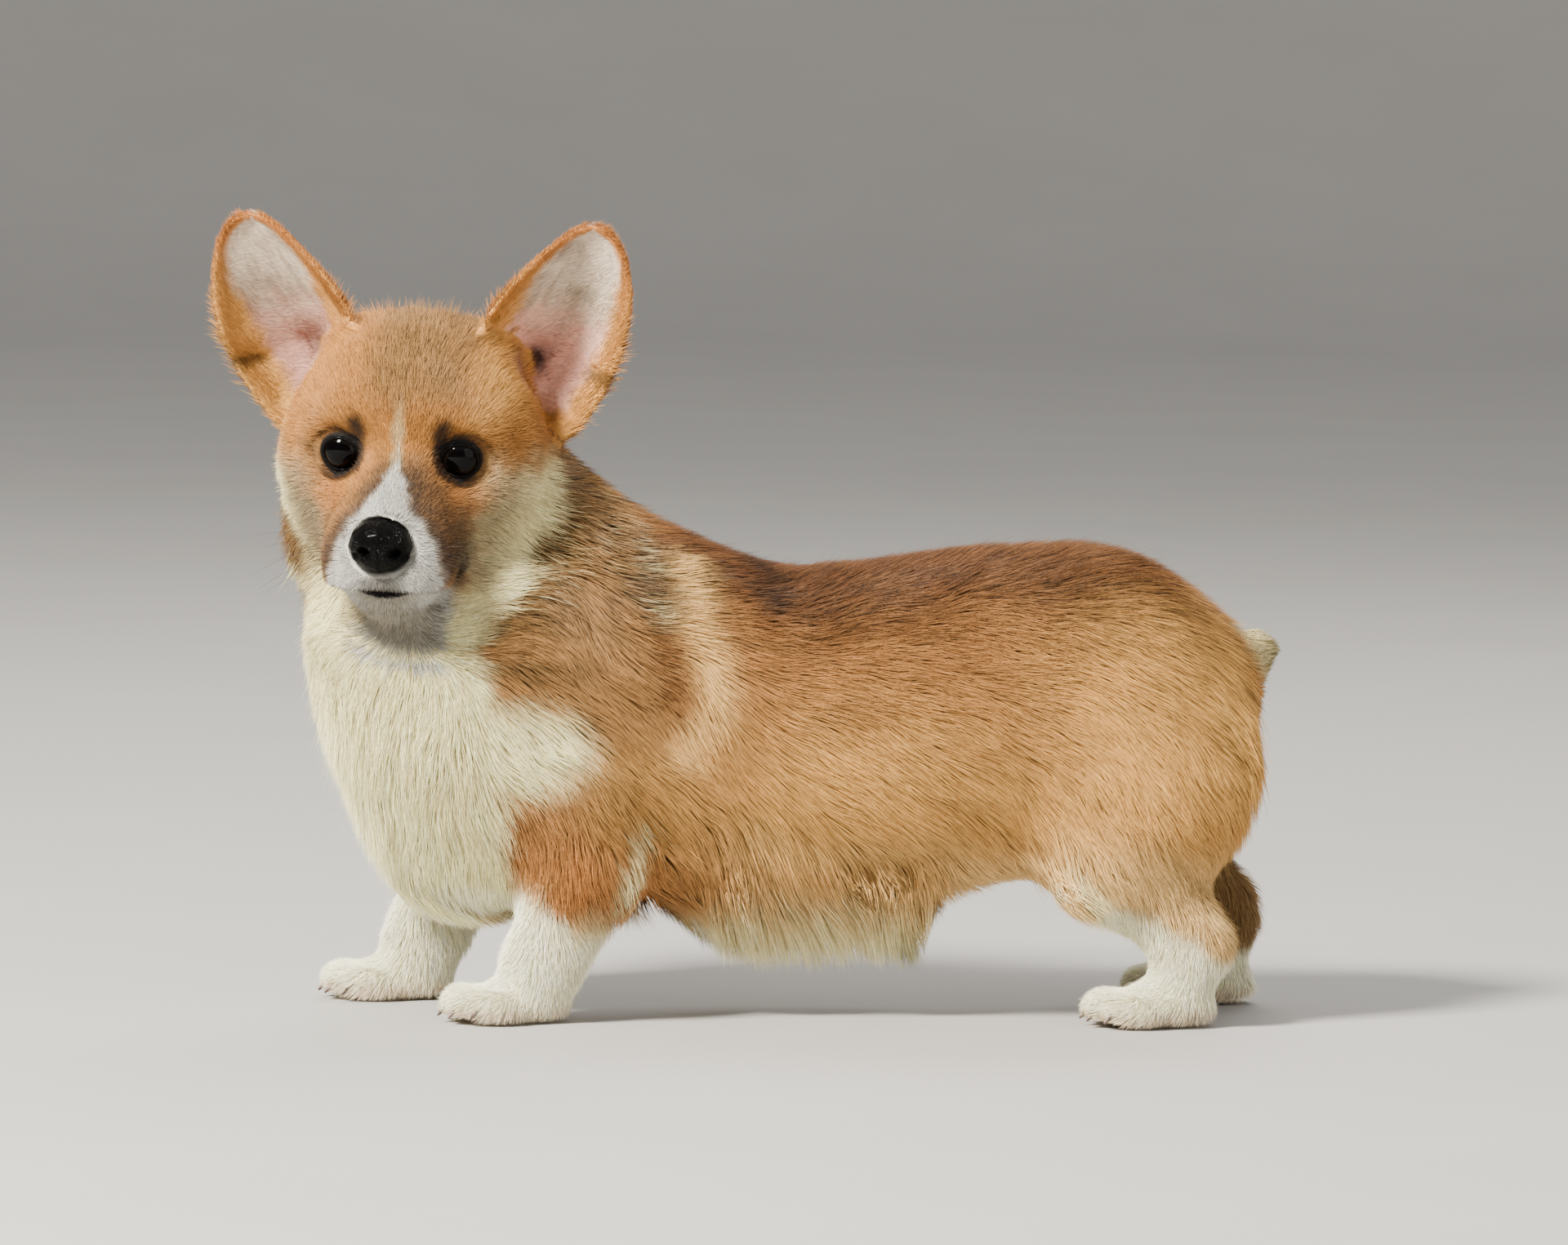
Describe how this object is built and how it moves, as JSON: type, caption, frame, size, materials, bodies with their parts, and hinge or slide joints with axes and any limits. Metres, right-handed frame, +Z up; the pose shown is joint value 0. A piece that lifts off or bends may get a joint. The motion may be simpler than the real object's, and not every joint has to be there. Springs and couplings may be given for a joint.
{
  "type": "corgi puppy display model",
  "caption": "Life-size still model of a standing short-legged herding dog puppy, upright ears, head turned to one side.",
  "frame": {"origin": "on the floor under the middle of the bounding box, so all four soles lie on z = 0", "axes": "+Z up; the dog looks along -Y with its body; its left side is +X; +Y points to the tail"},
  "size_m": [0.1698, 0.4346, 0.3179],
  "materials": {
    "body_fur": "dense short red-fawn coat with darker tips",
    "face_fur": "very short tan coat with a white muzzle",
    "ear_fur": "velvet orange back and rim, thin pale hair over pink skin inside",
    "pale_fur": "longer cream-white coat",
    "nose_leather": "moist, finely grained black",
    "eye": "wet, very dark brown",
    "claw": "horn, pale and slightly glossy"
  },
  "bodies": {
    "root": {"head": "face_fur", "lower_jaw": "pale_fur", "nose": "nose_leather", "eye_left": "eye", "eye_right": "eye", "ear_left": "ear_fur", "ear_right": "ear_fur", "neck": "pale_fur", "chest": "pale_fur", "barrel": "body_fur", "rump": "body_fur", "tail": "pale_fur", "upper_arm_left": "body_fur", "upper_arm_right": "body_fur", "forearm_left": "body_fur", "forearm_right": "body_fur", "forepaw_left": "pale_fur", "forepaw_right": "pale_fur", "thigh_left": "body_fur", "thigh_right": "body_fur", "shank_left": "body_fur", "shank_right": "body_fur", "hindpaw_left": "pale_fur", "hindpaw_right": "pale_fur", "claw_fore_left_1": "claw", "claw_fore_left_2": "claw", "claw_fore_left_3": "claw", "claw_fore_left_4": "claw", "claw_fore_right_1": "claw", "claw_fore_right_2": "claw", "claw_fore_right_3": "claw", "claw_fore_right_4": "claw", "claw_hind_left_1": "claw", "claw_hind_left_2": "claw", "claw_hind_left_3": "claw", "claw_hind_left_4": "claw", "claw_hind_right_1": "claw", "claw_hind_right_2": "claw", "claw_hind_right_3": "claw", "claw_hind_right_4": "claw"}
  },
  "joints": []
}
